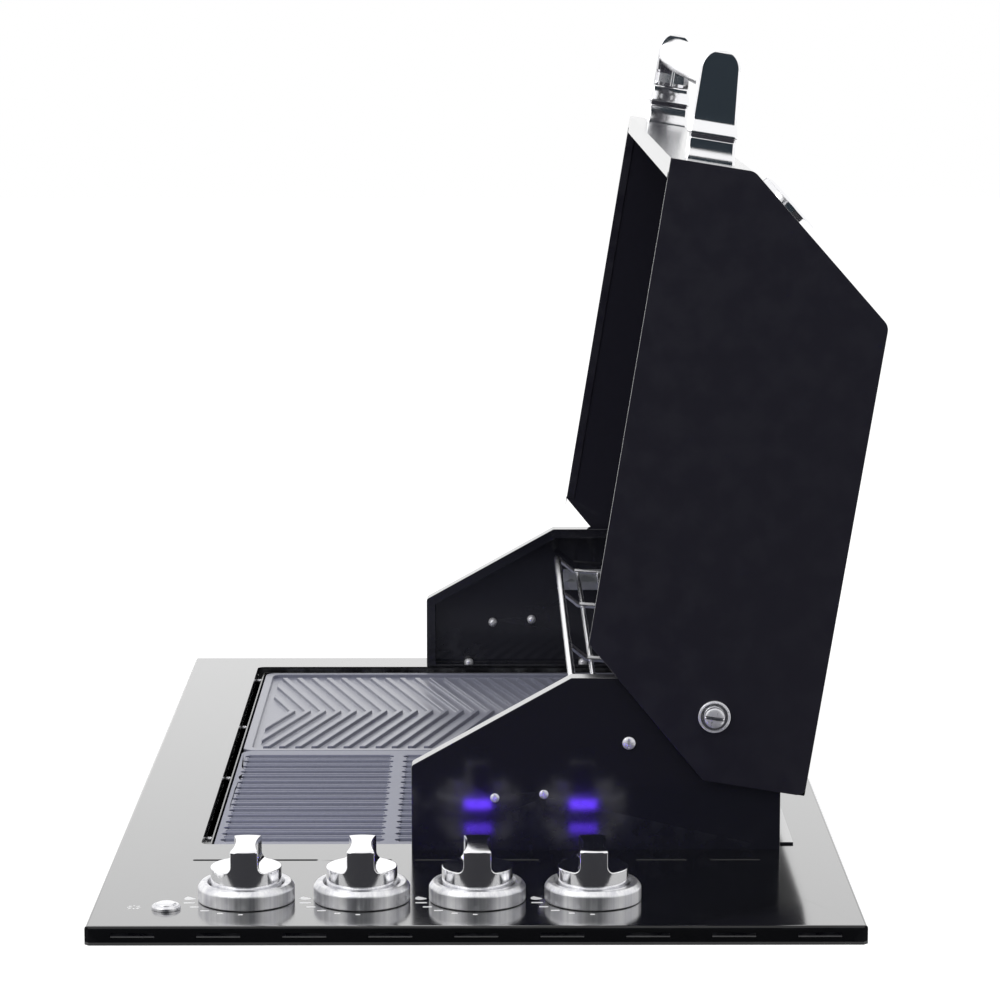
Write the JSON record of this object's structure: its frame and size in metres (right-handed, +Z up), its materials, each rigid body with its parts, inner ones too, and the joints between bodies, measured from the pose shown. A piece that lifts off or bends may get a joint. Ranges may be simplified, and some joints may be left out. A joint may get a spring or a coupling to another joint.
{
  "type": "built-in gas grill",
  "caption": "Drop-in gas grill for a worktop: black top plate with cast grill plate and hotplate, hinged hood with tube handle, warming rack, control knobs and drip tray.",
  "frame": {"origin": "middle of the top plate, on the plane where the plate's folded lip rests on the worktop", "axes": "+X is the user's right, where the control knobs are, -Y is the user's side, +Z is up"},
  "size_m": [0.9, 0.549, 0.7716],
  "materials": {
    "plate_black": "satin powder coat",
    "bracket_black": "satin powder coat",
    "hood_black": "semi-gloss enamel",
    "liner_black": "satin powder coat",
    "galvanised": "plain galvanised sheet",
    "stainless": "brushed stainless steel",
    "bright_steel": "bright zinc or nickel",
    "chrome": "polished chrome",
    "cast_grill": "matt enamel",
    "cast_hotplate": "matt enamel",
    "brass": "machined",
    "copper_pipe": "drawn tube",
    "lead_red": "silicone sleeve",
    "ceramic": "glazed ceramic",
    "black_plastic": "moulded",
    "lens_violet": "clear tinted lens",
    "gauge_glass": "clear",
    "dial_white": "printed face left bare",
    "needle_red": "matt"
  },
  "bodies": {
    "grill": {"top_plate": "plate_black", "opening_liner": "liner_black", "fire_box": "galvanised", "cast_ledges": "galvanised", "tamer_ledges": "galvanised", "tray_runners": "galvanised", "side_bracket_left": "bracket_black", "side_bracket_right": "bracket_black", "rear_wall": "bracket_black", "bracket_screws": "bright_steel", "liner_screws": "bright_steel", "rack_supports": "galvanised", "hinge_bolts": "bright_steel", "hinge_bushes": "bright_steel", "hinge_nuts": "bright_steel", "burner_tubes": "stainless", "flame_tamers": "stainless", "burner_rest": "galvanised", "gas_manifold": "brass", "gas_valves": "brass", "feed_pipes": "copper_pipe", "injectors": "brass", "inlet_pipe": "brass", "gas_inlet": "brass", "control_box": "bracket_black", "control_box_cover": "galvanised", "igniter_module": "black_plastic", "igniter_ring": "chrome", "electrodes": "ceramic", "ignition_leads": "lead_red", "knob_bezels": "stainless", "indicator_lenses": "lens_violet"},
    "hood": {"hood_shell": "hood_black", "hood_side_left": "hood_black", "hood_side_right": "hood_black", "handle_tube": "chrome", "handle_brackets": "chrome", "handle_screws": "bright_steel", "thermometer_case": "bright_steel", "thermometer_bezel": "chrome", "thermometer_dial": "dial_white", "thermometer_glass": "gauge_glass", "thermometer_nut": "bright_steel"},
    "needle": {"thermometer_needle": "needle_red"},
    "hotplate": {"hotplate": "cast_hotplate"},
    "grill_plate": {"grill_plate": "cast_grill"},
    "warming_rack": {"warming_rack": "bright_steel"},
    "drip_tray": {"drip_tray": "galvanised"},
    "igniter_button": {"igniter_button": "bright_steel"},
    "valve_spindle_1": {"valve_spindle_1": "brass"},
    "burner_knob_1": {"burner_knob_1": "chrome"},
    "valve_spindle_2": {"valve_spindle_2": "brass"},
    "burner_knob_2": {"burner_knob_2": "chrome"},
    "valve_spindle_3": {"valve_spindle_3": "brass"},
    "burner_knob_3": {"burner_knob_3": "chrome"},
    "valve_spindle_4": {"valve_spindle_4": "brass"},
    "burner_knob_4": {"burner_knob_4": "chrome"}
  },
  "joints": [
    {"name": "hood_hinge", "type": "hinge", "parent": "grill", "child": "hood", "pos_m": [-0.087, 0.1695, 0.112], "axis": [1, 0, 0], "range_deg": [0, 99.2]},
    {"name": "needle_turn", "type": "hinge", "parent": "hood", "child": "needle", "pos_m": [-0.087, 0.24193, 0.44591], "axis": [0, -0.7508, -0.6605], "range_deg": [0, 270], "stiffness_Nm_per_rad": 0.0005, "springref_deg": -34.38},
    {"name": "hotplate_lift", "type": "slide", "parent": "grill", "child": "hotplate", "axis": [0, 0, 1], "range_m": [0, 0.05]},
    {"name": "grill_plate_lift", "type": "slide", "parent": "grill", "child": "grill_plate", "axis": [0, 0, 1], "range_m": [0, 0.05]},
    {"name": "rack_lift", "type": "slide", "parent": "grill", "child": "warming_rack", "axis": [0, 0, 1], "range_m": [0, 0.055]},
    {"name": "tray_slide", "type": "slide", "parent": "grill", "child": "drip_tray", "axis": [0, -1, 0], "range_m": [0, 0.3]},
    {"name": "igniter_push", "type": "slide", "parent": "grill", "child": "igniter_button", "axis": [0, 0, -1], "range_m": [0, 0.003], "stiffness_N_per_m": 1000, "springref_m": -0.002},
    {"name": "valve_turn_1", "type": "hinge", "parent": "grill", "child": "valve_spindle_1", "pos_m": [0.382, -0.15685, 0], "axis": [0, 0, 1], "range_deg": [0, 170]},
    {"name": "knob_push_1", "type": "slide", "parent": "valve_spindle_1", "child": "burner_knob_1", "axis": [0, 0, -1], "range_m": [0, 0.003], "stiffness_N_per_m": 2000, "springref_m": -0.003},
    {"name": "valve_turn_2", "type": "hinge", "parent": "grill", "child": "valve_spindle_2", "pos_m": [0.382, -0.07815, 0], "axis": [0, 0, 1], "range_deg": [0, 170]},
    {"name": "knob_push_2", "type": "slide", "parent": "valve_spindle_2", "child": "burner_knob_2", "axis": [0, 0, -1], "range_m": [0, 0.003], "stiffness_N_per_m": 2000, "springref_m": -0.003},
    {"name": "valve_turn_3", "type": "hinge", "parent": "grill", "child": "valve_spindle_3", "pos_m": [0.382, 0.00055, 0], "axis": [0, 0, 1], "range_deg": [0, 170]},
    {"name": "knob_push_3", "type": "slide", "parent": "valve_spindle_3", "child": "burner_knob_3", "axis": [0, 0, -1], "range_m": [0, 0.003], "stiffness_N_per_m": 2000, "springref_m": -0.003},
    {"name": "valve_turn_4", "type": "hinge", "parent": "grill", "child": "valve_spindle_4", "pos_m": [0.382, 0.07925, 0], "axis": [0, 0, 1], "range_deg": [0, 170]},
    {"name": "knob_push_4", "type": "slide", "parent": "valve_spindle_4", "child": "burner_knob_4", "axis": [0, 0, -1], "range_m": [0, 0.003], "stiffness_N_per_m": 2000, "springref_m": -0.003}
  ]
}
